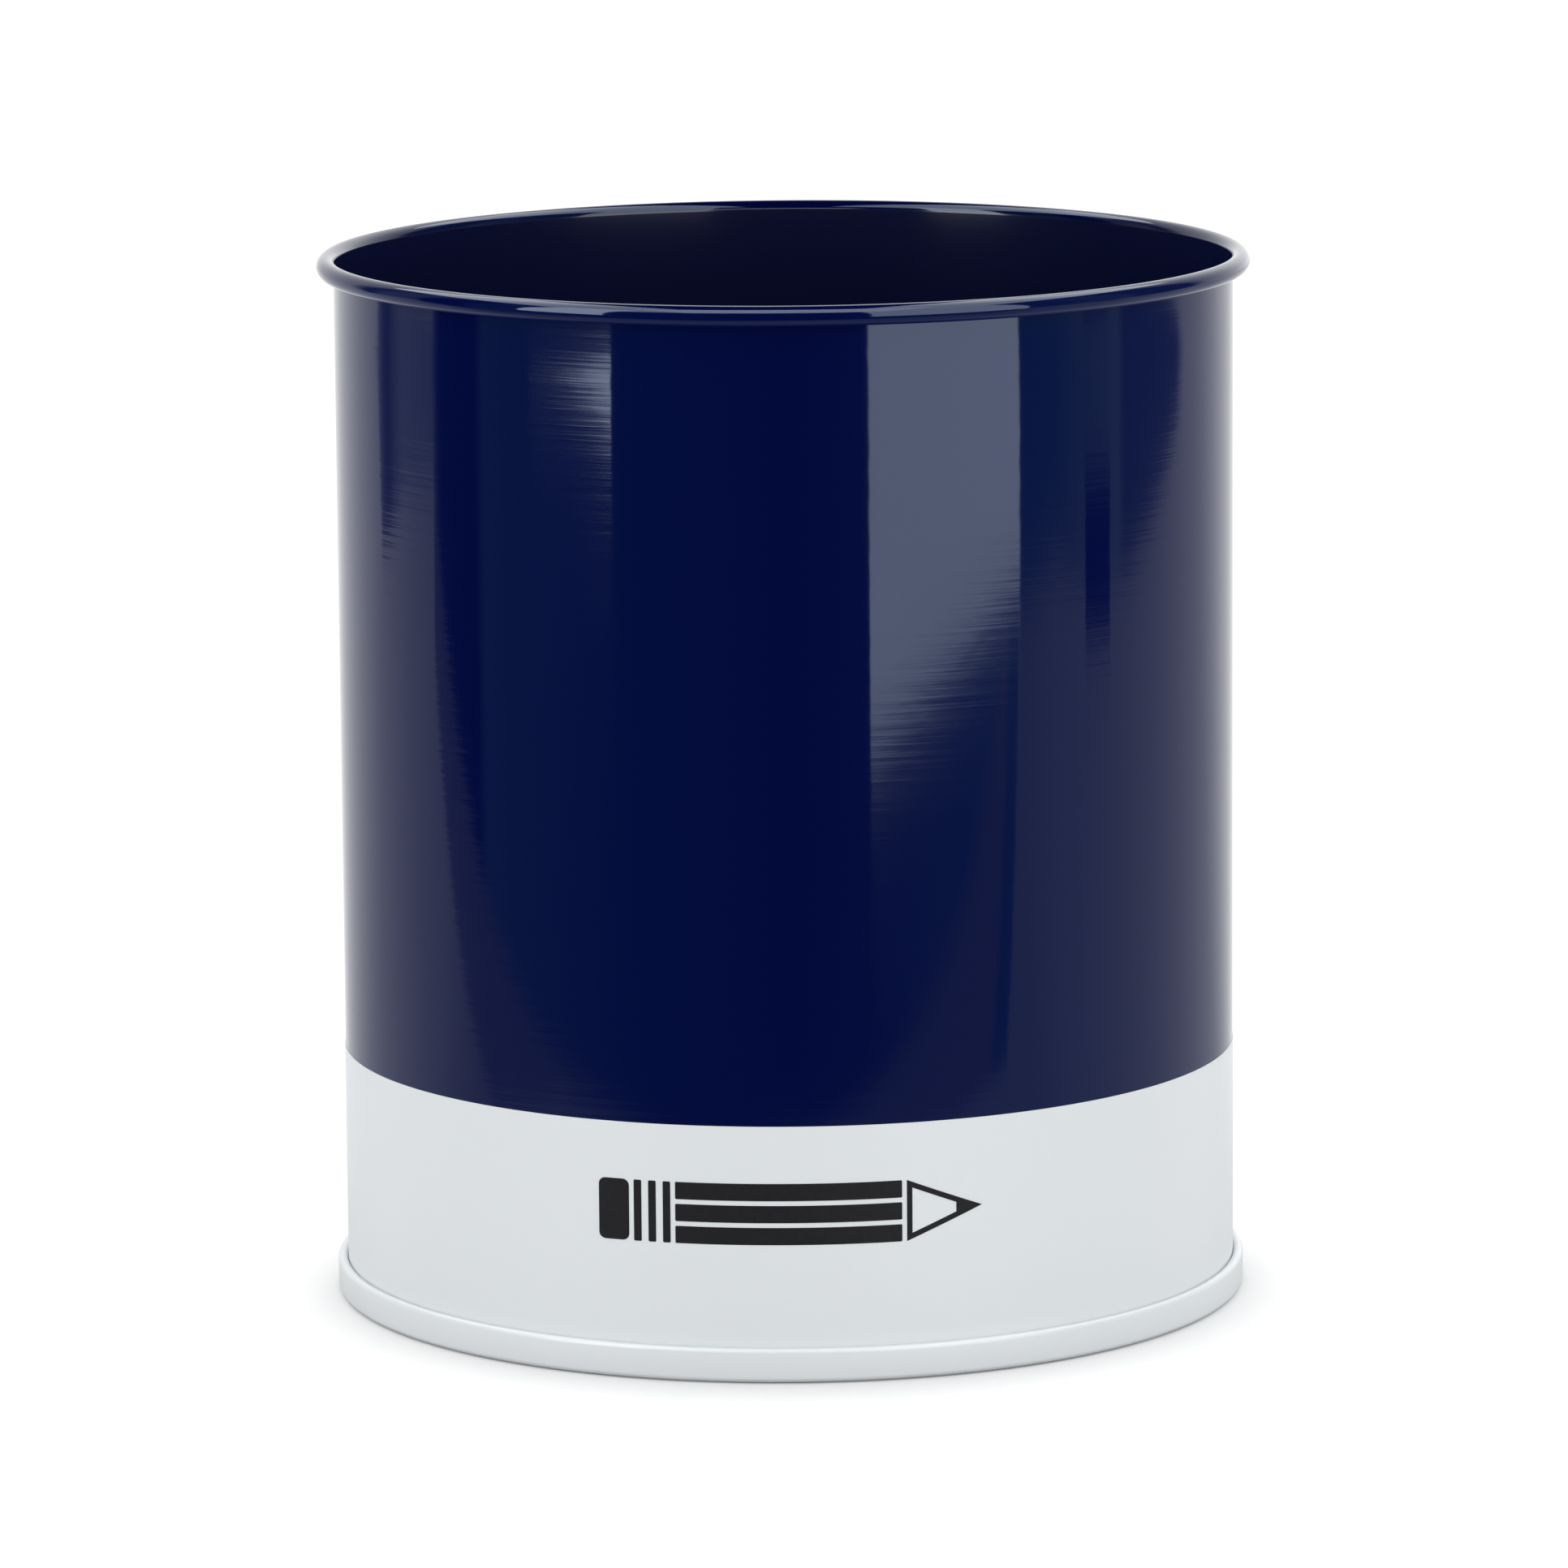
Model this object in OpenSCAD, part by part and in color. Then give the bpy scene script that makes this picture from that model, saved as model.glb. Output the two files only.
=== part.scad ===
// Desk cup made like a paint can: a welded tinplate body with a curled rim and a double-seamed bottom.
// The origin is on the surface that the cup stands on, at the middle of the cup. +Z is up, -Y is the printed front.

/* [Body] */
// Outside diameter of the plain wall
body_d = 86; // [70:0.5:110]
// Height from the standing surface to the top of the curl
height = 100.5; // [70:0.5:140]
// Thickness of the tinplate
sheet_t = 0.28; // [0.22:0.01:0.30]
// Outside diameter of the curl's tube
curl_d = 1.9; // [1.7:0.1:2.6]
// How far round the curl's tube is rolled, in degrees
curl_turn = 305; // [240:1:310]
// Direction of the welded side seam, in degrees from +X
weld_at = 129; // [0:1:359]
// Width of the welded lap
weld_w = 1.0; // [0.6:0.1:1.6]
// How far the welded lap stands in from the wall
weld_proud = 0.08; // [0.04:0.01:0.12]

/* [Bottom seam] */
// Height of the double seam
seam_h = 3.2; // [3.0:0.1:3.8]
// Film of sealing compound between two layers of plate
film_t = 0.05; // [0.04:0.01:0.06]
// Radius of the seam's two lower corners, on the outside
seam_corner = 0.5; // [0.45:0.01:0.55]
// Height of the hook at the end of the body wall
hook_h = 2.6; // [2.2:0.05:2.7]

/* [Bottom end] */
// Depth of the countersink, from the standing surface to its ridge
countersink = 4.6; // [4.2:0.1:7]
// Inner radius of the ridge's bend
ridge_bend = 0.45; // [0.4:0.05:0.8]
// How far the panel lies below the ridge
panel_drop = 1.3; // [1.2:0.05:1.6]
// Inner radius of the bend between ridge and panel
panel_bend = 0.3; // [0.2:0.05:0.4]
// Radius of each expansion ring on the panel
ring_radii = [22, 31];
// Width of an expansion ring
ring_w = 3.2; // [2:0.1:5]
// Rise of an expansion ring
ring_rise = 0.5; // [0.3:0.05:0.8]

/* [Print] */
// Height of the white band's upper edge
band_top = 24.1; // [15:0.1:40]
// Thickness of the white coat
coat_t = 0.04; // [0.02:0.01:0.04]
// Thickness of the printed ink
ink_t = 0.03; // [0.02:0.01:0.05]
// Length of the printed pencil, straight across
pencil_l = 35.6; // [20:0.1:50]
// Width of the printed pencil
pencil_w = 5.8; // [3:0.1:8]
// Height of the printed pencil's middle line
pencil_z = 15.8; // [8:0.1:20]

/* [Hidden] */
$fn = 96;
wall_r = body_d / 2;
bore_r = wall_r - sheet_t;
// The curl's tube, tangent to the inside of the wall
curl_r = curl_d / 2;
curl_x = bore_r + curl_r;
curl_z = height - curl_r;
curl_reach = 2 * curl_d;
// The two bends of the seam: the body's hook turns up, the end's hook turns down
bend_in = sheet_t / 2 + film_t;
bend_out = bend_in + sheet_t;
body_bend_x = wall_r + bend_in;
body_bend_z = sheet_t + film_t + bend_out;
hook_x = body_bend_x + bend_in;
end_bend_x = hook_x + sheet_t / 2;
end_bend_z = seam_h - bend_out;
end_hook_x = wall_r + film_t;
end_hook_z = body_bend_z;
seam_r = end_bend_x + bend_out;
// The chuck wall presses on the inside of the body
chuck_r = bore_r - film_t;
corner_in = seam_corner - sheet_t;
// The ridge of the countersink and the panel inside it
ridge_out = ridge_bend + sheet_t;
ridge_x = chuck_r - sheet_t - ridge_bend;
ridge_z = countersink - ridge_out;
panel_z = countersink - panel_drop - sheet_t;
panel_wall_r = ridge_x - ridge_bend;
panel_bend_x = panel_wall_r - sheet_t - panel_bend;
panel_bend_z = panel_z + sheet_t + panel_bend;
// An expansion ring is an arc of this radius on the panel
ring_arc = (ring_w * ring_w / 4 + ring_rise * ring_rise) / (2 * ring_rise);
// The coat starts in the crevice above the seam
band_z = end_bend_z + 2 * film_t;
coat_r = wall_r + coat_t;
ink_r = coat_r + ink_t;
// Parts of the printed pencil, from its rubber to its point
rubber_l = 2.8;
ferrule_l = 3.4;
ferrule_bar = 0.7;
cone_l = 7.0;
lead_l = 2.4;
print_gap = 0.45;
outline_t = 0.5;
barrel_stripes = 3;
ferrule_bars = 3;

// A sheet bent through a quarter turn: the quarter that lies to sx and sy of the centre
module quarter_bend(x, z, r_in, r_out, sx, sy) {
    translate([x, z])
    intersection() {
        difference() {
            circle(r_out);
            circle(r_in);
        }
        translate([min(sx, 0) * r_out, min(sy, 0) * r_out])
        square(r_out);
    }
}

// A straight run of sheet between two opposite corners
module run(x0, z0, x1, z1) {
    translate([x0, z0])
    square([x1 - x0, z1 - z0]);
}

// The rim's curl, open where the edge of the sheet stops short of the wall
module curl_section() {
    open_to = 180 + 360 - curl_turn;
    difference() {
        translate([curl_x, curl_z])
        circle(curl_r);
        translate([curl_x, curl_z])
        circle(curl_r - sheet_t);
        polygon([
            [curl_x, curl_z],
            [curl_x - curl_reach, curl_z],
            [curl_x + curl_reach * cos(open_to), curl_z + curl_reach * sin(open_to)]
        ]);
    }
}

module body_section() {
    run(bore_r, body_bend_z, wall_r, curl_z);
    curl_section();
    quarter_bend(body_bend_x, body_bend_z, bend_in, bend_out, -1, -1);
    quarter_bend(body_bend_x, body_bend_z, bend_in, bend_out, 1, -1);
    run(hook_x, body_bend_z, hook_x + sheet_t, hook_h);
}

// The seamed edge of the bottom end, from its hook round to the chuck wall
module seamed_edge_section() {
    run(end_hook_x, end_hook_z, end_hook_x + sheet_t, end_bend_z);
    quarter_bend(end_bend_x, end_bend_z, bend_in, bend_out, -1, 1);
    quarter_bend(end_bend_x, end_bend_z, bend_in, bend_out, 1, 1);
    run(seam_r - sheet_t, seam_corner, seam_r, end_bend_z);
    quarter_bend(seam_r - seam_corner, seam_corner, corner_in, seam_corner, 1, -1);
    run(chuck_r - sheet_t + seam_corner, 0, seam_r - seam_corner, sheet_t);
    quarter_bend(chuck_r - sheet_t + seam_corner, seam_corner, corner_in, seam_corner, -1, -1);
    run(chuck_r - sheet_t, seam_corner, chuck_r, ridge_z);
}

// The countersink's ridge and the fall from it to the panel
module ridge_section() {
    quarter_bend(ridge_x, ridge_z, ridge_bend, ridge_out, 1, 1);
    quarter_bend(ridge_x, ridge_z, ridge_bend, ridge_out, -1, 1);
    run(panel_wall_r - sheet_t, panel_bend_z, panel_wall_r, ridge_z);
    quarter_bend(panel_bend_x, panel_bend_z, panel_bend, panel_bend + sheet_t, 1, -1);
}

// The panel, raised over each expansion ring
module panel_section() {
    difference() {
        run(0, panel_z, panel_bend_x, panel_z + sheet_t);
        for (r = ring_radii)
            translate([r, panel_z + ring_rise - ring_arc])
            circle(ring_arc);
    }
    for (r = ring_radii)
        translate([r, panel_z + ring_rise - ring_arc])
        intersection() {
            difference() {
                circle(ring_arc + sheet_t);
                circle(ring_arc);
            }
            translate([-ring_w, ring_arc - ring_rise])
            square([2 * ring_w, ring_rise + sheet_t]);
        }
}

module end_section() {
    seamed_edge_section();
    ridge_section();
    panel_section();
}

// Tube-shaped layer between two radii
module layer(r_in, r_out, z0, z1) {
    rotate_extrude()
    run(r_in, z0, r_out, z1);
}

// The printed pencil seen from the front, centred on the origin, pointing to +X
module pencil_outline() {
    half_w = pencil_w / 2;
    ferrule_x = rubber_l + print_gap;
    barrel_x = ferrule_x + ferrule_l + print_gap;
    cone_x = pencil_l - cone_l;
    stripe_w = (pencil_w - (barrel_stripes - 1) * print_gap) / barrel_stripes;
    bar_step = (ferrule_l - ferrule_bar) / (ferrule_bars - 1);
    slope = half_w / cone_l;
    wood_half = slope * (cone_l - outline_t) - outline_t;
    lead_half = slope * lead_l - outline_t;
    translate([-pencil_l / 2, 0]) {
        translate([0, -half_w])
        square([rubber_l, pencil_w]);
        for (i = [0 : ferrule_bars - 1])
            translate([ferrule_x + i * bar_step, -half_w])
            square([ferrule_bar, pencil_w]);
        for (i = [0 : barrel_stripes - 1])
            translate([barrel_x, -half_w + i * (stripe_w + print_gap)])
            square([cone_x - print_gap - barrel_x, stripe_w]);
        difference() {
            polygon([[cone_x, -half_w], [pencil_l, 0], [cone_x, half_w]]);
            polygon([
                [cone_x + outline_t, -wood_half],
                [pencil_l - lead_l, -lead_half],
                [pencil_l - lead_l, lead_half],
                [cone_x + outline_t, wood_half]
            ]);
        }
    }
}

// Tinplate wall with the curl at the top, the hook at the bottom and the welded lap inside
module body_shell() {
    color("#0a1242") {
        rotate_extrude()
        body_section();
        rotate([0, 0, weld_at])
        intersection() {
            layer(bore_r - weld_proud, bore_r + sheet_t / 2, countersink + weld_w, curl_z);
            translate([0, -weld_w / 2, 0])
            cube([wall_r, weld_w, height]);
        }
    }
}

// Pressed bottom, hooked into the body's hook all the way round
module bottom_end() {
    color("#dcdfe0")
    rotate_extrude()
    end_section();
}

// Rubber compound on both sides of the body's hook and over its end, sealed inside the seam
module seam_compound() {
    color("#3b3b3b")
    rotate_extrude()
    difference() {
        union() {
            run(end_hook_x + sheet_t, body_bend_z, seam_r - sheet_t, end_bend_z);
            run(hook_x, end_bend_z, hook_x + sheet_t, end_bend_z + 2 * film_t);
        }
        run(hook_x, body_bend_z, hook_x + sheet_t, hook_h);
    }
}

// White enamel on the lowest part of the wall
module white_band() {
    color("#dcdfe0")
    layer(wall_r, coat_r, band_z, band_top);
}

// Plain pencil picture in flat grey ink on the front of the band
module printed_pencil() {
    color("#2a2a2c")
    intersection() {
        layer(coat_r, ink_r, pencil_z - pencil_w, pencil_z + pencil_w);
        translate([0, 0, pencil_z])
        rotate([90, 0, 0])
        linear_extrude(body_d)
        pencil_outline();
    }
}

body_shell();
bottom_end();
seam_compound();
white_band();
printed_pencil();
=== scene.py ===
# %% [markdown]
# # A desk cup made like a small paint can
#
# The cup is two pieces of tinplate. One is the wall: a sheet rolled round, welded along a side seam,
# curled outward at the top and hooked at the bottom. The other is a pressed bottom, seamed onto that hook.
# Navy enamel covers the wall inside and out, and a white band with a printed pencil covers its lowest part.
#
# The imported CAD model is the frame. Each piece here is a finer mesh that stands in the same place as its
# CAD node, so every size below is read from that node's box or follows from the sheet's thickness.

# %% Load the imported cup
import math

import bmesh
import bpy
from mathutils import Matrix, Vector


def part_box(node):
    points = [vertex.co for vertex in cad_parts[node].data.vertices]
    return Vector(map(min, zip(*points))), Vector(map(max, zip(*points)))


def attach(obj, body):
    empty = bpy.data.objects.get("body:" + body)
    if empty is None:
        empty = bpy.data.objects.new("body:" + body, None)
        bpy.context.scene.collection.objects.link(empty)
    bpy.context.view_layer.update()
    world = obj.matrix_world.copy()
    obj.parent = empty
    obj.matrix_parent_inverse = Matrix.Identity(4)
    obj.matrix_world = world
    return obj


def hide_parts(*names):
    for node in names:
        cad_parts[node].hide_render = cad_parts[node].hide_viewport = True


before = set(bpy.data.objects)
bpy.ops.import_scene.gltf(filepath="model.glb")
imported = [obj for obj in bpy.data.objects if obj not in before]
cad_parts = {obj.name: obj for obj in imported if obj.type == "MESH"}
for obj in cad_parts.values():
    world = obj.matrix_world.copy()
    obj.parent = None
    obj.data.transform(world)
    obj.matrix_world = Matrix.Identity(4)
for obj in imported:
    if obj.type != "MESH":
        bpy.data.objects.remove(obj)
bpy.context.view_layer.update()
MM = 0.001
print("CAD nodes:", sorted(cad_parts))

# %% [markdown]
# ## Sizes
#
# A can maker works from the plate: once its thickness is known, every bend in the rim and the seam follows
# from it. The boxes of the CAD nodes give the rest, so nothing here has to be fitted by eye.

# %% Read the sizes from the frame
PLATE = 0.28 * MM
FILM = 0.05 * MM
COAT = 0.04 * MM
_, shell_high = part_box("body_shell")
_, end_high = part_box("bottom_end")
band_low, band_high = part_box("white_band")
pencil_low, pencil_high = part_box("printed_pencil")

COAT_R = band_high.x
WALL_R = COAT_R - COAT
BORE_R = WALL_R - PLATE
CURL_R = 0.95 * MM
SEAM_R = end_high.x
SEAM_H = 3.2 * MM
HOOK_H = 2.6 * MM
RIDGE_Z = end_high.z
BEND = 1.5 * PLATE + FILM
print(f"wall radius {WALL_R / MM:.2f} mm, height {shell_high.z / MM:.1f} mm, seam radius {SEAM_R / MM:.2f} mm")

# %% [markdown]
# ## Drawing sheet metal
#
# A drawing of sheet metal is a line that runs straight and bends. Typing its corners as coordinates would
# hide that, so this small pen walks the line instead: it knows where it is and which way it faces, and the
# plate always lies on its right. Straight runs extrude the last vertex. Bends spin it about the bend's
# centre, which keeps every arc a true arc.

# %% A pen that draws the section of a sheet
def start_section(radius, height, heading):
    """A new section at this radius and height. Heading is in degrees, 0 outward and 90 up."""
    mesh = bmesh.new()
    return {"mesh": mesh, "tip": mesh.verts.new((radius, 0, height)), "heading": heading}


def run(pen, length, pieces=1):
    """Draws a straight run, in equal pieces."""
    angle = math.radians(pen["heading"])
    step = Vector((math.cos(angle), 0, math.sin(angle))) * (length / pieces)
    for _ in range(pieces):
        made = bmesh.ops.extrude_vert_indiv(pen["mesh"], verts=[pen["tip"]])
        pen["tip"] = made["verts"][0]
        bmesh.ops.translate(pen["mesh"], verts=[pen["tip"]], vec=step)


def bend(pen, radius, degrees, steps):
    """Bends the line to the right by this many degrees, or to the left where they are negative."""
    side = math.copysign(1, degrees)
    angle = math.radians(pen["heading"] - 90 * side)
    centre = pen["tip"].co + radius * Vector((math.cos(angle), 0, math.sin(angle)))
    made = bmesh.ops.spin(pen["mesh"], geom=[pen["tip"]], cent=centre, axis=(0, 1, 0),
                          angle=math.radians(degrees), steps=steps)
    pen["tip"] = next(g for g in made["geom_last"] if isinstance(g, bmesh.types.BMVert))
    pen["heading"] -= degrees


# %% [markdown]
# A can is round, so one full turn of the section makes the surface. The number of steps decides how round the
# outline looks and how wide one column of faces is. Here a column is about as wide as the welded lap.

# %% Turn a section into a round sheet
TURN_STEPS = 288
WELD_AT = math.radians(129)
COLUMN = 2 * math.pi / TURN_STEPS
LAP_SHOULDER = COLUMN * WALL_R / 4
FACING_FROM = 0.9
SAME_POINT = 0.002 * MM
CORNER_FROM = math.radians(35)


def turn_round(pen, thickness):
    """Spins the section about the cup's axis and gives the surface its thickness, on the line's right."""
    mesh = pen["mesh"]
    start = Matrix.Rotation(WELD_AT - COLUMN / 2, 3, "Z")
    bmesh.ops.rotate(mesh, verts=mesh.verts, matrix=start)
    bmesh.ops.spin(mesh, geom=mesh.verts[:] + mesh.edges[:], axis=(0, 0, 1), angle=2 * math.pi,
                   steps=TURN_STEPS, use_merge=True)
    bmesh.ops.remove_doubles(mesh, verts=mesh.verts, dist=SAME_POINT)
    bmesh.ops.recalc_face_normals(mesh, faces=mesh.faces)
    drawn = set(mesh.verts)
    bmesh.ops.solidify(mesh, geom=mesh.faces[:], thickness=thickness)
    for face in mesh.faces:
        face.material_index = 0 if drawn.intersection(face.verts) else 1
    return mesh


def raise_weld(mesh, low, high, facing, depth):
    """Raises the welded lap between two heights, outside for facing 1 and inside for facing -1."""
    column = []
    for face in mesh.faces:
        centre = face.calc_center_median()
        outward = Vector((centre.x, centre.y, 0)).normalized()
        at_weld = abs(math.atan2(centre.y, centre.x) - WELD_AT) < COLUMN / 2
        if at_weld and low < centre.z < high and face.normal.dot(outward) * facing > FACING_FROM:
            column.append(face)
    bmesh.ops.inset_region(mesh, faces=column, thickness=LAP_SHOULDER, depth=depth, use_even_offset=True)
    print(f"welded lap: {len(column)} faces raised by {depth / MM:.2f} mm")


def finish_piece(mesh, name, materials, node):
    """Makes the object, smooth except across real corners, and gives it its place in the frame."""
    data = bpy.data.meshes.new(name)
    mesh.to_mesh(data)
    mesh.free()
    for material in materials:
        data.materials.append(material)
    data.polygons.foreach_set("use_smooth", [True] * len(data.polygons))
    data.set_sharp_from_angle(angle=CORNER_FROM)
    piece = bpy.data.objects.new(name, data)
    bpy.context.scene.collection.objects.link(piece)
    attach(piece, "root")
    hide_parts(node)
    print(f"{name}: {len(data.polygons)} faces, {piece.dimensions.x / MM:.2f} mm wide")
    return piece


# %% [markdown]
# ## Enamels and ink
#
# Every colour is written as the hex value that a paint chart would give, and one function turns it into the
# linear values that shaders mix. One more function adds a node, so that a material reads as a list of steps.

# %% Colour and node helpers
def linear(hex_colour):
    """An sRGB hex colour as linear red, green, blue and alpha."""
    channels = [int(hex_colour[i:i + 2], 16) / 255 for i in (1, 3, 5)]
    return [c / 12.92 if c <= 0.04045 else ((c + 0.055) / 1.055) ** 2.4 for c in channels] + [1.0]


def add_node(tree, kind, settings, links=None):
    """Adds a node, sets its properties and sockets, and links its inputs."""
    node = tree.nodes.new("ShaderNode" + kind)
    for name, value in settings.items():
        if name in node.inputs:
            node.inputs[name].default_value = value
        else:
            setattr(node, name, value)
    for name, source in (links or {}).items():
        tree.links.new(source, node.inputs[name])
    return node


def new_material(name, **surface):
    """A material with one Principled shader. The values are those that are the same all over."""
    material = bpy.data.materials.new(name)
    material.use_nodes = True
    shader = material.node_tree.nodes["Principled BSDF"]
    for socket, value in surface.items():
        shader.inputs[socket.replace("_", " ")].default_value = value
    return material, material.node_tree, shader


def stretched(tree, around, along):
    """Object coordinates scaled so that one unit of a pattern is this wide and this tall, in metres."""
    place = add_node(tree, "TexCoord", {})
    scale = (1 / around, 1 / around, 1 / along)
    return add_node(tree, "Mapping", {"Scale": scale}, {"Vector": place.outputs["Object"]})


# %% [markdown]
# Stoving enamel is sprayed on and baked. It flows into a hard gloss that reflects like glass, with two
# small faults that sell it: orange peel from the spray, and the fine level lines that rolling leaves in the
# plate. The coarse lines are a little under a millimetre apart, run round the can and are deeper on its
# left half. The finest ones are too small to draw, so the shader's own anisotropy does their work: a
# reflection is smeared up and down, while its upright edges stay sharp.

# %% Navy stoving enamel
LINE_LENGTH = 24 * MM
LINE_GAP = 0.65 * MM
PEEL_SIZE = 2.2 * MM
DEEP_LINES_TO = -12 * MM
SHALLOW_LINES_FROM = 3 * MM


def enamel_relief(tree, shader, line_height, peel_height):
    """Rolling lines and orange peel, as two bumps one on the other."""
    lines = add_node(tree, "TexNoise", {"Scale": 1.0, "Detail": 2.0, "Roughness": 0.6},
                     {"Vector": stretched(tree, around=LINE_LENGTH, along=LINE_GAP).outputs["Vector"]})
    peel = add_node(tree, "TexNoise", {"Scale": 1.0, "Detail": 1.0},
                    {"Vector": stretched(tree, around=PEEL_SIZE, along=PEEL_SIZE).outputs["Vector"]})
    place = add_node(tree, "TexCoord", {})
    across = add_node(tree, "SeparateXYZ", {}, {"Vector": place.outputs["Object"]})
    depths = {"From Min": DEEP_LINES_TO, "From Max": SHALLOW_LINES_FROM, "To Min": 1.0, "To Max": 0.5}
    fade = add_node(tree, "MapRange", depths, {"Value": across.outputs["X"]})
    lower = add_node(tree, "Bump", {"Distance": line_height},
                     {"Height": lines.outputs["Fac"], "Strength": fade.outputs["Result"]})
    upper = add_node(tree, "Bump", {"Strength": 1.0, "Distance": peel_height},
                     {"Height": peel.outputs["Fac"], "Normal": lower.outputs["Normal"]})
    tree.links.new(upper.outputs["Normal"], shader.inputs["Normal"])


navy_enamel, navy_tree, navy_shader = new_material("navy stoving enamel", Base_Color=linear("#010837"),
                                                  IOR=1.5, Specular_Tint=linear("#d6e7ff"),
                                                  Anisotropic=0.8, Anisotropic_Rotation=0.25)
enamel_relief(navy_tree, navy_shader, line_height=0.007 * MM, peel_height=0.003 * MM)
grain_way = add_node(navy_tree, "Tangent", {"direction_type": "RADIAL", "axis": "Z"})
navy_tree.links.new(grain_way.outputs["Tangent"], navy_shader.inputs["Tangent"])
HAZE_SIZE = 12 * MM
haze = add_node(navy_tree, "TexNoise", {"Scale": 1.0, "Detail": 3.0},
                {"Vector": stretched(navy_tree, around=HAZE_SIZE, along=HAZE_SIZE).outputs["Vector"]})
gloss = add_node(navy_tree, "MapRange", {"To Min": 0.05, "To Max": 0.08}, {"Value": haze.outputs["Fac"]})
navy_tree.links.new(gloss.outputs["Result"], navy_shader.inputs["Roughness"])

# %% [markdown]
# The inside is the same navy enamel, but it is given a darker, greyer copy of the colour: painted shade for
# the deep inside of the cup, which keeps it calm and dark. It has a softer gloss too.

# %% Navy enamel on the inside, with painted shade
shaded_inside_enamel, _, _ = new_material("navy enamel, inside, painted shade", Base_Color=linear("#0d1132"), IOR=1.5,
                                   Roughness=0.13)

# %% [markdown]
# The white is the same kind of enamel with titanium white in it. The pigment scatters so much light that the
# gloss hardly shows, and the colour is a cool white a little below paper.

# %% White enamel
white_enamel, white_tree, white_shader = new_material("white enamel", Base_Color=linear("#e0e4e6"), IOR=1.5)
enamel_relief(white_tree, white_shader, line_height=0.004 * MM, peel_height=0.005 * MM)
SATIN_PATCH = 20 * MM
tone = add_node(white_tree, "TexNoise", {"Scale": 1.0, "Detail": 2.0},
                {"Vector": stretched(white_tree, around=SATIN_PATCH, along=SATIN_PATCH).outputs["Vector"]})
satin = add_node(white_tree, "MapRange", {"To Min": 0.285, "To Max": 0.36}, {"Value": tone.outputs["Fac"]})
white_tree.links.new(satin.outputs["Result"], white_shader.inputs["Roughness"])

# %% [markdown]
# Screen ink is pressed through a mesh, so it lies flat and dull, and slightly uneven in tone where the mesh
# let more or less of it through. The compound in the seam is a soft grey rubber with a fine grain. It lies
# between the two hooks, where nobody sees it, so its plain solid keeps its shape and only takes a material.

# %% Screen ink and seam compound
screen_ink, ink_tree, ink_shader = new_material("grey screen ink", Roughness=0.5, Specular_IOR_Level=0.2)
SCREEN_MESH = 0.4 * MM
mottle = add_node(ink_tree, "TexNoise", {"Scale": 1.0, "Detail": 4.0},
                  {"Vector": stretched(ink_tree, around=SCREEN_MESH, along=SCREEN_MESH).outputs["Vector"]})
ink_tone = add_node(ink_tree, "ValToRGB", {}, {"Fac": mottle.outputs["Fac"]})
ink_tone.color_ramp.elements[0].color = linear("#0f0f11")
ink_tone.color_ramp.elements[1].color = linear("#1f1f22")
ink_tree.links.new(ink_tone.outputs["Color"], ink_shader.inputs["Base Color"])

seam_rubber, rubber_tree, rubber_shader = new_material("seam compound rubber", Roughness=0.7)
RUBBER_GRAIN = 0.5 * MM
grain = add_node(rubber_tree, "TexNoise", {"Scale": 1.0, "Detail": 3.0},
                 {"Vector": stretched(rubber_tree, around=RUBBER_GRAIN, along=RUBBER_GRAIN).outputs["Vector"]})
rubber_tone = add_node(rubber_tree, "ValToRGB", {}, {"Fac": grain.outputs["Fac"]})
rubber_tone.color_ramp.elements[0].color = linear("#2f2f31")
rubber_tone.color_ramp.elements[1].color = linear("#474749")
rubber_tree.links.new(rubber_tone.outputs["Color"], rubber_shader.inputs["Base Color"])
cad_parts["seam_compound"].data.materials.clear()
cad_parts["seam_compound"].data.materials.append(seam_rubber)
print("materials:", [m.name for m in (navy_enamel, shaded_inside_enamel, white_enamel, screen_ink, seam_rubber)])

# %% [markdown]
# ## The wall
#
# The section starts at the end of the hook inside the seam, turns under, climbs the inside of the wall and
# rolls outward into the curl. The curl stops short of the wall, as a rolled edge does, and leaves a fine
# slit. Modelling it as one sheet, and not as a tube set on a cylinder, gives the slit and the cut edge for
# nothing.

# %% Wall with its curl, hook and welded lap
CURL_TURN = 305
CURL_Z = shell_high.z - CURL_R
HOOK_BEND_Z = PLATE + FILM + BEND
LAP_FROM = RIDGE_Z + 0.2 * MM

wall = start_section(WALL_R + 2 * (BEND - PLATE) + PLATE, HOOK_H, heading=-90)
run(wall, HOOK_H - HOOK_BEND_Z)
bend(wall, BEND, 180, steps=10)
run(wall, LAP_FROM - HOOK_BEND_Z)
run(wall, CURL_Z - LAP_FROM, pieces=16)
bend(wall, CURL_R, CURL_TURN, steps=30)
wall_mesh = turn_round(wall, PLATE)
LAP_OUTSIDE = 0.05 * MM
LAP_INSIDE = 0.03 * MM
raise_weld(wall_mesh, LAP_FROM, CURL_Z - CURL_R, facing=1, depth=LAP_OUTSIDE)
raise_weld(wall_mesh, LAP_FROM, CURL_Z - CURL_R, facing=-1, depth=LAP_INSIDE)
# Faces inside the bore take the darker inside navy, which is painted shade.
INSIDE_TO = BORE_R + 0.1 * PLATE
for face in wall_mesh.faces:
    reach = face.calc_center_median() * Vector((1, 1, 0))
    face.material_index = 1 if reach.length < INSIDE_TO else 0
finish_piece(wall_mesh, "tin_wall", [navy_enamel, shaded_inside_enamel], "body_shell")
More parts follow.
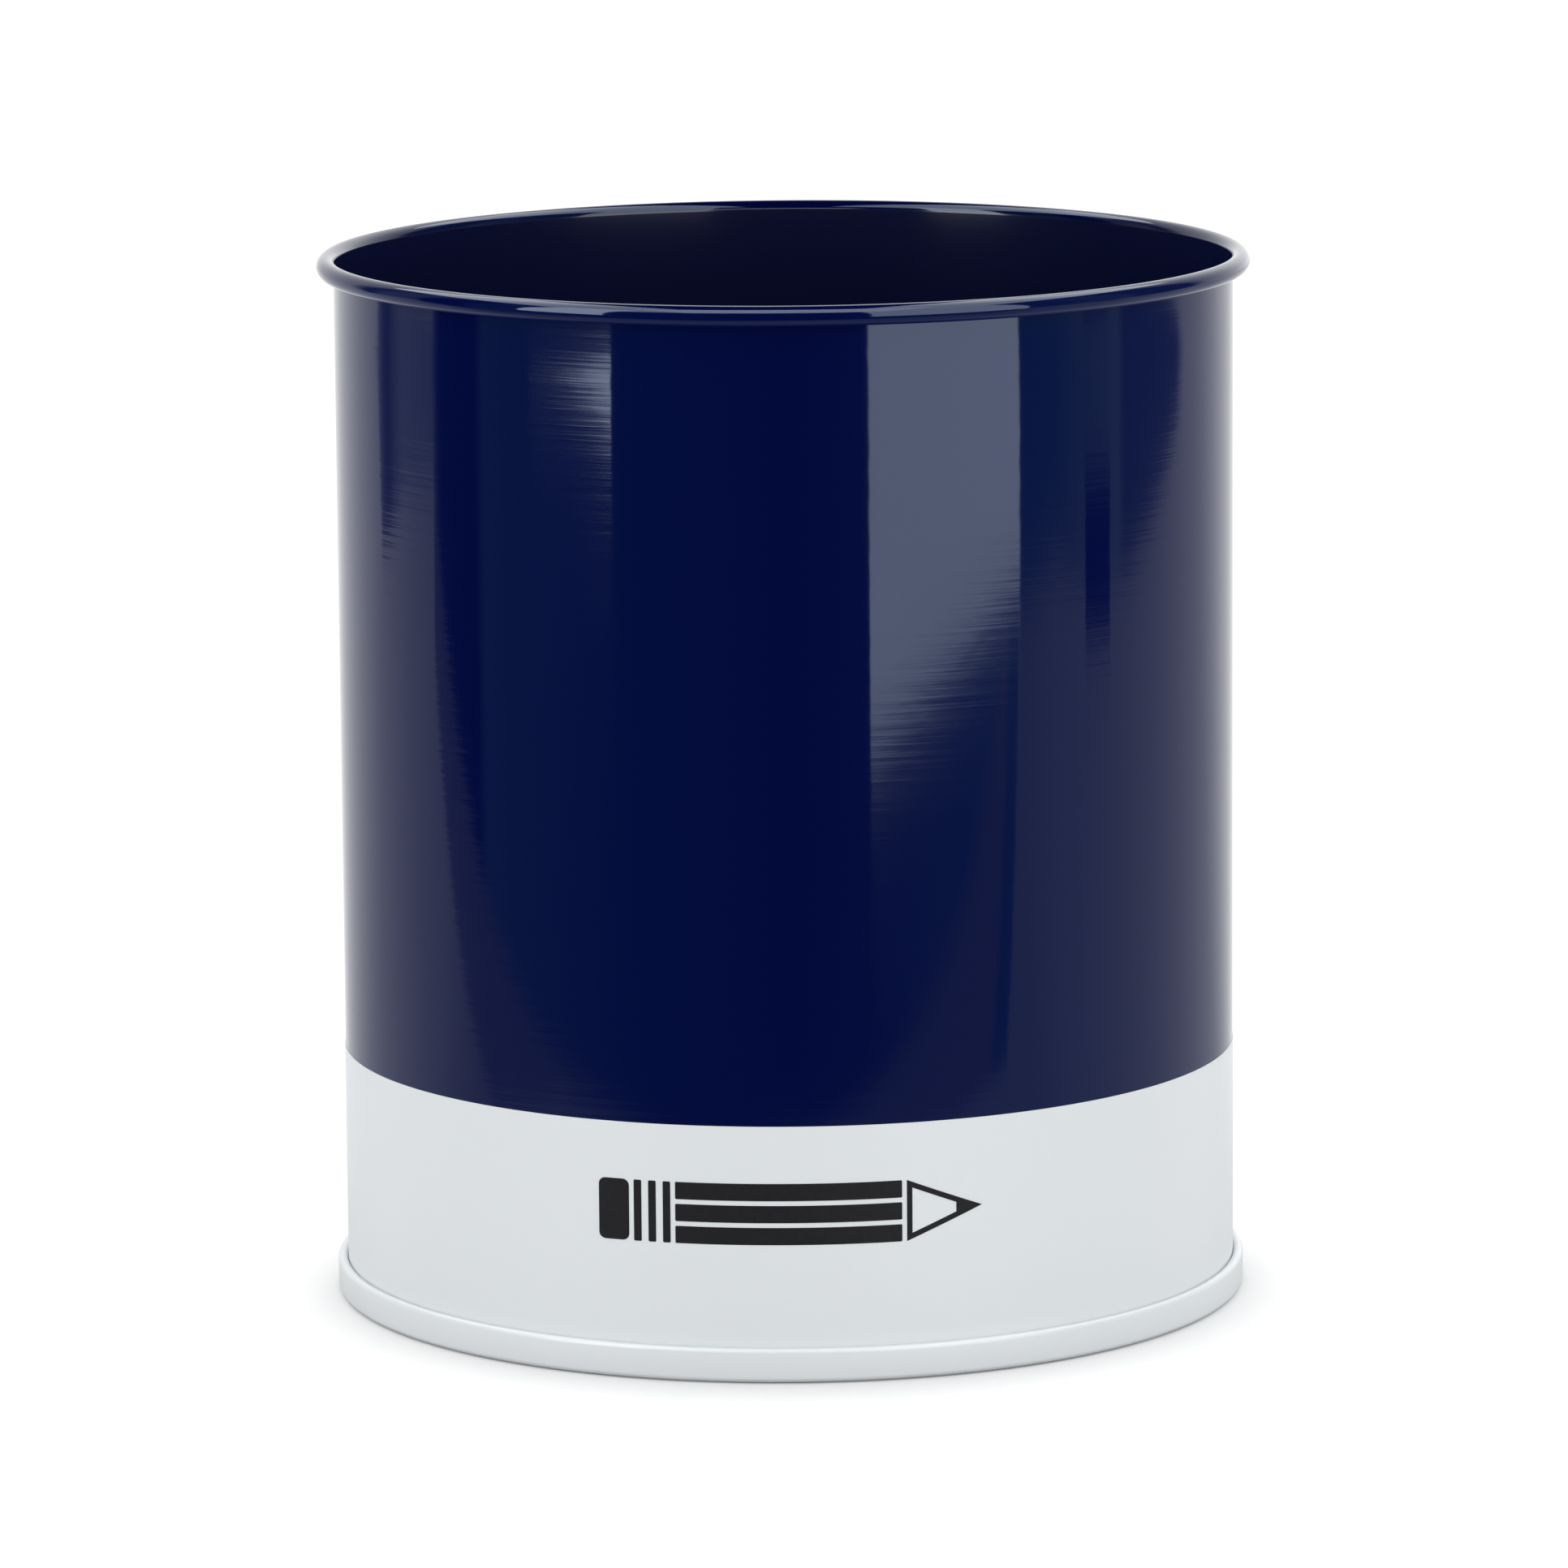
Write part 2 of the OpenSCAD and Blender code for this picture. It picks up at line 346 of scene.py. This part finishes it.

# %% [markdown]
# ## The pressed bottom
#
# The end is one pressing. From its hook it goes over and down the outside of the seam, under it, up the chuck
# wall and over the countersink ridge, then down to the panel. Two rings stiffen the panel. Each ring is three
# bends, up, over and up again, whose angle and radii follow from its width and rise. The side that faces into
# the cup is navy in the wall's darker inside copy, which is painted shade, and the side that faces the desk is
# white.

# %% Pressed bottom
SEAM_CORNER = 0.5 * MM
RIDGE_BEND = 0.45 * MM
PANEL_BEND = 0.3 * MM
PANEL_DROP = 1.3 * MM
CHUCK_FACE_R = BORE_R - FILM - PLATE
RIDGE_BEND_Z = RIDGE_Z - PLATE - RIDGE_BEND
PANEL_Z = RIDGE_Z - PANEL_DROP - PLATE
RING_RADII = (31 * MM, 22 * MM)
RING_W = 3.2 * MM
RING_RISE = 0.5 * MM
RING_TILT = 2 * math.atan(2 * RING_RISE / RING_W)
RING_BENDS = RING_W / (2 * math.sin(RING_TILT))
RING_FOOT_BEND = 0.45 * RING_BENDS
RING_TOP_BEND = 0.55 * RING_BENDS

bottom = start_section(WALL_R + FILM, HOOK_BEND_Z, heading=90)
run(bottom, SEAM_H - BEND - HOOK_BEND_Z)
bend(bottom, BEND, 180, steps=12)
run(bottom, SEAM_H - BEND - SEAM_CORNER, pieces=2)
bend(bottom, SEAM_CORNER, 90, steps=8)
run(bottom, SEAM_R - CHUCK_FACE_R - 2 * SEAM_CORNER)
bend(bottom, SEAM_CORNER, 90, steps=8)
run(bottom, RIDGE_BEND_Z - SEAM_CORNER, pieces=2)
bend(bottom, RIDGE_BEND, -180, steps=14)
run(bottom, RIDGE_BEND_Z - PANEL_Z - PLATE - PANEL_BEND)
bend(bottom, PANEL_BEND + PLATE, 90, steps=8)
for ring_r in RING_RADII:
    run(bottom, bottom["tip"].co.x - ring_r - RING_W / 2, pieces=2)
    bend(bottom, RING_FOOT_BEND, math.degrees(RING_TILT), steps=5)
    bend(bottom, RING_TOP_BEND, -2 * math.degrees(RING_TILT), steps=10)
    bend(bottom, RING_FOOT_BEND, math.degrees(RING_TILT), steps=5)
run(bottom, bottom["tip"].co.x, pieces=6)
bottom_mesh = turn_round(bottom, PLATE)
finish_piece(bottom_mesh, "pressed_bottom", [white_enamel, shaded_inside_enamel],
             "bottom_end")

# %% [markdown]
# ## The white band
#
# The band is paint, a few hundredths of a millimetre thick. It could be a colour change in one material,
# but a skin of its own gives it a true edge where it ends on the navy, and lets it ride over the welded
# lap.

# %% White band
band = start_section(COAT_R, band_high.z, heading=-90)
run(band, band_high.z - band_low.z, pieces=8)
band_mesh = turn_round(band, COAT)
raise_weld(band_mesh, band_low.z, band_high.z, facing=1, depth=LAP_OUTSIDE)
finish_piece(band_mesh, "white_band_coat", [white_enamel, white_enamel], "white_band")

# %% [markdown]
# ## The printed pencil
#
# A plain pencil seen from the side marks the front. It could be a picture on the band, but as a thin layer of
# ink it keeps sharp edges at any distance. It is drawn flat, as a printer's film would be, from bars with
# slightly rounded corners: a rubber, three bars for the ferrule and three stripes for the barrel.

# %% Draw the pencil flat
INK = 0.03 * MM
GAP = 0.45 * MM
pencil_h = pencil_high.z - pencil_low.z
pencil = bmesh.new()


def bar(x, length, z, height, corner=0.12 * MM):
    """A flat bar with rounded corners, on the plane of the film."""
    turns = ((0, 0), (1, 0), (1, 1), (0, 1))
    corners = [pencil.verts.new((x + i * length, 0, z + j * height)) for i, j in turns]
    bmesh.ops.contextual_create(pencil, geom=corners)
    bmesh.ops.bevel(pencil, geom=corners, offset=corner, segments=4, profile=0.5, affect="VERTICES",
                    material=-1)


RUBBER_L = 2.8 * MM
FERRULE_BAR = 0.7 * MM
FERRULE_STEP = 1.35 * MM
CONE_L = 7.0 * MM
LEAD_L = 2.4 * MM
OUTLINE = 0.5 * MM
cone_x = pencil_high.x - CONE_L
ferrule_x = pencil_low.x + RUBBER_L + GAP
barrel_x = ferrule_x + 2 * FERRULE_STEP + FERRULE_BAR + GAP
stripe = (pencil_h - 2 * GAP) / 3

bar(pencil_low.x, RUBBER_L, pencil_low.z, pencil_h, corner=0.6 * MM)
for i in range(3):
    bar(ferrule_x + i * FERRULE_STEP, FERRULE_BAR, pencil_low.z, pencil_h)
    bar(barrel_x, cone_x - GAP - barrel_x, pencil_low.z + i * (stripe + GAP), stripe)
print(f"pencil: {len(pencil.faces)} bars")

# %% [markdown]
# The sharpened end is one triangle. A cut across it marks off the lead, which stays solid. An inset leaves an
# outline round the bare wood, and the face in the middle is taken out, so that the white shows through.

# %% Sharpen it
middle_z = (pencil_low.z + pencil_high.z) / 2
corners = ((cone_x, 0, pencil_low.z), (pencil_high.x, 0, middle_z), (cone_x, 0, pencil_high.z))
tip = [pencil.verts.new(p) for p in corners]
cone = bmesh.ops.contextual_create(pencil, geom=tip)["faces"]
bmesh.ops.bisect_plane(pencil, geom=tip + list(cone[0].edges) + cone, plane_no=(1, 0, 0),
                       plane_co=(pencil_high.x - LEAD_L + OUTLINE, 0, 0))
wood = [f for f in pencil.faces if cone_x < f.calc_center_median().x < cone_x + CONE_L / 2]
bmesh.ops.inset_region(pencil, faces=wood, thickness=OUTLINE, use_boundary=True, use_even_offset=True)
bmesh.ops.delete(pencil, geom=wood, context="FACES")
print(f"pencil: {len(pencil.faces)} faces with its point")

# %% [markdown]
# The drawing is flat and the can is round. Cuts across the drawing every millimetre let its flat shapes bend,
# and then each vertex drops straight back onto the cylinder of the band, which keeps the drawing's width as it
# is seen from the front.

# %% Wrap it round the band
for step in range(int((pencil_high.x - pencil_low.x) / MM)):
    bmesh.ops.bisect_plane(pencil, geom=pencil.verts[:] + pencil.edges[:] + pencil.faces[:],
                           plane_co=(pencil_low.x + (step + 0.5) * MM, 0, 0), plane_no=(1, 0, 0))
for vert in pencil.verts:
    vert.co.y = -math.sqrt((COAT_R + INK) ** 2 - vert.co.x ** 2)
bmesh.ops.reverse_faces(pencil, faces=[face for face in pencil.faces if face.normal.y > 0])
bmesh.ops.solidify(pencil, geom=pencil.faces[:], thickness=INK)
finish_piece(pencil, "pencil_print", [screen_ink], "printed_pencil")

# %% [markdown]
# ## Studio
#
# The cup stands on a plain pale floor in even light, which comes from a white world, brightest near the
# horizon. A gloss surface shows what is round it, so what the enamel reflects is set apart from what lights
# it. The floor is made twice: one sheet is what the eye sees, and it glows a little, so that only a faint
# shadow is left on it. The other is what lights the cup from below, and it doesn't glow. Both carry a
# painted shadow close to the seam, reaching furthest in front: the seen sheet's glow fades out there and the
# other's colour darkens, so the cup's foot meets the floor in a soft dark line and doesn't float.

# %% Floor and world
STUDIO = bpy.context.scene
STUDIO.view_settings.view_transform = "Standard"
FLOOR_W = 6.0


def stage_piece(mesh, name, material):
    """Makes something that belongs to the studio and not to the cup."""
    data = bpy.data.meshes.new(name)
    mesh.to_mesh(data)
    mesh.free()
    data.materials.append(material)
    item = bpy.data.objects.new(name, data)
    STUDIO.collection.objects.link(item)
    return item


def seen_by(item, camera=False, diffuse=False, glossy=False):
    """Chooses which rays see a studio item. None of them throws a shadow."""
    item.visible_camera, item.visible_diffuse, item.visible_glossy = camera, diffuse, glossy
    item.visible_shadow = item.visible_transmission = item.visible_volume_scatter = False
    return item


def floor_sheet(name, height, material):
    """A level sheet of floor."""
    mesh = bmesh.new()
    bmesh.ops.create_grid(mesh, x_segments=8, y_segments=8, size=FLOOR_W / 2)
    bmesh.ops.translate(mesh, verts=mesh.verts, vec=(0, 0, height))
    return stage_piece(mesh, name, material)


SHADOW_SHIFT = 3 * MM
SHADOW_W = 8 * MM
FLOOR_SEEN_Z = -0.1 * MM
FLOOR_LIGHTING_Z = -0.2 * MM


def near_seam(tree, at_seam, further_out):
    """A value for the painted shadow round the cup's foot, which reaches further out in front than at the
    back.
    """
    place = add_node(tree, "TexCoord", {})
    nudge = add_node(tree, "Mapping", {"Location": (0, SHADOW_SHIFT, 0)}, {"Vector": place.outputs["Object"]})
    reach = add_node(tree, "VectorMath", {"operation": "LENGTH"}, {"Vector": nudge.outputs["Vector"]})
    starts = SEAM_R - SHADOW_SHIFT
    steps = {"From Min": starts, "From Max": starts + SHADOW_W, "To Min": at_seam, "To Max": further_out}
    return add_node(tree, "MapRange", steps, {"Value": reach.outputs["Value"]}).outputs["Result"]


glowing, glow_tree, glow_shader = new_material("pale floor paint, glowing", Base_Color=linear("#ededed"),
                                               Roughness=0.9, Specular_IOR_Level=0.0,
                                               Emission_Color=linear("#ffffff"))
# Painted shadow: the floor's glow is nothing at the seam and grows outward.
glow = near_seam(glow_tree, at_seam=0.0, further_out=0.25)
glow_tree.links.new(glow, glow_shader.inputs["Emission Strength"])
plain, plain_tree, plain_shader = new_material("pale floor paint", Roughness=0.9)
# Painted shadow: the lighting floor's colour is darkest at the seam and pales outward.
paint = near_seam(plain_tree, at_seam=0.25, further_out=0.57)
plain_tree.links.new(paint, plain_shader.inputs["Base Color"])
seen_by(floor_sheet("floor_seen", FLOOR_SEEN_Z, glowing), camera=True)
seen_by(floor_sheet("floor_lighting", FLOOR_LIGHTING_Z, plain), diffuse=True)

HORIZON_LIGHT = 1.57
HIGH_LIGHT = 0.94
HIGH_FROM = 0.8
world = bpy.data.worlds.new("white studio")
world.use_nodes = True
sky = world.node_tree
direction = add_node(sky, "TexCoord", {})
height = add_node(sky, "SeparateXYZ", {}, {"Vector": direction.outputs["Generated"]})
dimmer = add_node(sky, "MapRange", {"From Max": HIGH_FROM, "To Min": HORIZON_LIGHT, "To Max": HIGH_LIGHT},
                  {"Value": height.outputs["Z"]})
sky.links.new(dimmer.outputs["Result"], sky.nodes["Background"].inputs["Strength"])
sky.nodes["Background"].inputs["Color"].default_value = linear("#ffffff")
world.cycles_visibility.glossy = False
STUDIO.world = world
print(f"foot shadow fades out {(SEAM_R - SHADOW_SHIFT + SHADOW_W) / MM:.1f} mm from its own middle")

# %% [markdown]
# Reflections see cards only. A card is a sheet of glowing cloth that nothing but a reflection sees, so it can
# stand anywhere and light nothing. Its brightness is written as a grey for each direction, in degrees to the
# right of the front, and a radial gradient reads it. Upright cards bend round the cup, which keeps a
# reflection's sides upright on the round wall, and level cards have an outline.

# %% Cards that reflections see
def card_cloth(name, strength, greys):
    """Glowing cloth with a hex grey for each direction, between 90 left and 270 right of the front."""
    material = bpy.data.materials.new(name)
    material.use_nodes = True
    tree = material.node_tree
    tree.nodes.clear()
    place = add_node(tree, "TexCoord", {})
    turn = add_node(tree, "TexGradient", {"gradient_type": "RADIAL"}, {"Vector": place.outputs["Object"]})
    grey = add_node(tree, "ValToRGB", {}, {"Fac": turn.outputs["Fac"]})
    stops = grey.color_ramp.elements
    stops.remove(stops[1])
    stops[0].position, stops[0].color = 0, linear(greys[0][1])
    for degrees, hex_grey in greys[1:]:
        stops.new((degrees + 90) / 360).color = linear(hex_grey)
    light = add_node(tree, "Emission", {"Strength": strength}, {"Color": grey.outputs["Color"]})
    add_node(tree, "OutputMaterial", {}, {"Surface": light.outputs["Emission"]})
    return material


def upright_card(name, distance, turn_from, turn_to, low, high, material, cut=None):
    """A card bent round the cup, between two directions. A cut trims what lies below a slanting plane."""
    mesh = bmesh.new()
    foot, head = (mesh.verts.new((0, -distance, z)) for z in (low, high))
    edge = bmesh.ops.contextual_create(mesh, geom=[foot, head])["edges"]
    bmesh.ops.rotate(mesh, verts=mesh.verts, matrix=Matrix.Rotation(math.radians(turn_from), 3, "Z"))
    bmesh.ops.spin(mesh, geom=edge + mesh.verts[:], axis=(0, 0, 1), steps=48,
                   angle=math.radians(turn_to - turn_from))
    if cut:
        (turn_a, low_a), (turn_b, low_b) = cut
        a, b = (Vector((distance * math.sin(math.radians(t)), -distance * math.cos(math.radians(t)), z))
                for t, z in ((turn_a, low_a), (turn_b, low_b)))
        normal = (b - a).cross((a + b) * Vector((1, 1, 0)) * 0.5)
        normal *= math.copysign(1, normal.z)
        bmesh.ops.bisect_plane(mesh, geom=mesh.verts[:] + mesh.edges[:] + mesh.faces[:], plane_co=a,
                               plane_no=normal, clear_inner=True)
    return seen_by(stage_piece(mesh, name, material), glossy=True)


def level_card(name, height, outline, material):
    """A flat level card with this outline."""
    mesh = bmesh.new()
    bmesh.ops.contextual_create(mesh, geom=[mesh.verts.new((x, y, height)) for x, y in outline])
    return seen_by(stage_piece(mesh, name, material), glossy=True)


# %% [markdown]
# A wall of cloth goes all the way round, dark in front and bright behind, and the grey steps in it give the
# wall's milky sides and dark core. White paper lies on the floor behind and beside the cup, and its outline
# draws the slanting lower ends of those reflections. Dim paper under it reaches a little further, for a soft
# fringe. A narrow black card on the right makes the small dark gap in the milky side.

# %% Wall and paper
WALL_GREYS = (
    (-90, "#101215"), (-84, "#101215"), (-82, "#3a4d58"), (-47, "#243240"), (0, "#14161c"), (16, "#20222c"),
    (60, "#364f60"), (72, "#3c5462"), (80, "#566670"), (93, "#60707a"), (95, "#3c4a54"), (118, "#38404c"),
    (125, "#bebebe"), (158, "#ffffff"), (180, "#eeeeee"), (204, "#d0d0d0"), (229, "#bebebe"), (237, "#444850"),
    (240, "#34383c"), (247, "#6c7278"), (260, "#6c7278"), (262, "#181a20"), (270, "#101215"))
PAPER_GREYS = (
    (-90, "#9d9d9d"), (-75, "#848484"), (58, "#868c90"), (68, "#94989c"), (90, "#a0a0a0"), (128, "#b0b0b0"),
    (145, "#cecece"), (160, "#d8d8d8"), (200, "#d8d8d8"), (228, "#bcbcbc"), (240, "#adadad"), (270, "#9d9d9d"))
WALL_AT = 1.6
WALL_FOOT = -1.7
WALL_SPLIT = -0.05
WALL_TOP = 1.5
low_cloth = card_cloth("studio wall cloth", 2.0, WALL_GREYS)
high_cloth = card_cloth("studio wall cloth, dimmer", 1.5, WALL_GREYS)
upright_card("wall_cloth", WALL_AT, 0, 360, WALL_FOOT, WALL_SPLIT, low_cloth)
upright_card("wall_above", WALL_AT, 0, 360, WALL_SPLIT, WALL_TOP, high_cloth)

PAPER_EDGE = ((-0.13, -0.10), (-0.145, -0.05), (-0.44, 0.055), (-0.62, 0.085), (-0.56, 0.20), (-0.45, 0.275),
              (-0.62, 0.42), (-0.9, 1.25), (0.9, 1.25), (0.68, 0.43), (0.61, 0.32), (0.505, 0), (0.505, -0.19),
              (0.43, -0.26), (0.14, -0.115), (0, -0.15))
LOWER_EDGE = ((-0.11, -0.125), (-0.34, -0.03), (-0.55, 0.06), (0.45, 0.06), (0.47, -0.31), (0.32, -0.25),
              (0.115, -0.115), (0, -0.15))
WHITE = ((-90, "#ffffff"),)
BLACK = ((-90, "#000000"),)
PAPER_Z = -0.5 * MM
LOWER_Z = -0.8 * MM
level_card("paper_sweep", PAPER_Z, PAPER_EDGE, card_cloth("white paper", 1.6, PAPER_GREYS))
level_card("paper_below", LOWER_Z, LOWER_EDGE, card_cloth("grey paper", 0.2, WHITE))
upright_card("dark_gap", 0.445, 78.6, 86.9, 0.002, 0.0245, card_cloth("black cloth", 0.0, BLACK))
print("paper outlines:", len(PAPER_EDGE), "and", len(LOWER_EDGE), "points")

# %% [markdown]
# Two softboxes stand in front. The right one is wide and draws the tall pale strip, and the left one is
# narrower and brighter. The cut that trims each one's foot makes the strip end on a slant. Four long lights
# under the ceiling, two on each side, and a small one just above the front rim draw the lines along the curl.

# %% Softboxes and ceiling lights
SOFTBOX_AT = 0.4
SOFTBOX_FOOT = -0.05
SOFTBOX_TOP = 0.5
CEILING_Z = 0.9
RIM_LIGHT_Z = 0.135
softbox_cloth = card_cloth("softbox cloth", 3.1, WHITE)
bright_cloth = card_cloth("softbox cloth, brighter", 5.6, WHITE)
upright_card("softbox_right", SOFTBOX_AT, 20, 58.5, SOFTBOX_FOOT, SOFTBOX_TOP, softbox_cloth,
             cut=((23.2, -0.001), (58.5, 0.0182)))
upright_card("softbox_left", SOFTBOX_AT, -64, -42, SOFTBOX_FOOT, SOFTBOX_TOP, bright_cloth,
             cut=((-58, 0.0545), (-42, 0.0405)))
front_cloth = card_cloth("ceiling light cloth", 3.2, WHITE)
back_cloth = card_cloth("ceiling light cloth, brighter", 4.0, WHITE)
for side, near, far in ((-1, 0.24, 0.85), (1, 0.18, 0.75)):
    front = ((side * near, -0.9), (side * far, -0.9), (side * far, 0.1), (side * near, 0.1))
    back = ((side * near, 0.1), (side * far, 0.1), (side * far, 0.9), (side * near, 0.9))
    level_card(f"ceiling_front_{side}", CEILING_Z, front, front_cloth)
    level_card(f"ceiling_back_{side}", CEILING_Z, back, back_cloth)
level_card("rim_light", RIM_LIGHT_Z, ((-0.03, -0.085), (0.03, -0.085), (0.03, -0.05), (-0.03, -0.05)),
           card_cloth("rim light cloth", 4.6, WHITE))

# %% [markdown]
# ## Camera
#
# A long lens from almost a metre away keeps the wall's sides nearly parallel. It looks down by ten degrees,
# which opens the rim to an ellipse and shows a little of the inside, and it stands almost half a degree off
# level, as a camera on a tripod does.

# %% Camera
FOCAL = 208.6
DISTANCE = 0.8776
PITCH = math.radians(9.99)
ROLL = math.radians(0.45)
aim = Vector((-0.3 * MM, 0, 0.4845 * shell_high.z))
lens = bpy.data.cameras.new("camera")
lens.lens = FOCAL
lens.clip_end = 20
camera = bpy.data.objects.new("camera", lens)
camera.location = aim + DISTANCE * Vector((0, -math.cos(PITCH), math.sin(PITCH)))
camera.rotation_euler = (math.pi / 2 - PITCH, 0, 0)
camera.rotation_euler.rotate_axis("Z", -ROLL)
STUDIO.collection.objects.link(camera)
STUDIO.camera = camera
print(f"camera {camera.location.length:.3f} m from the cup's foot")
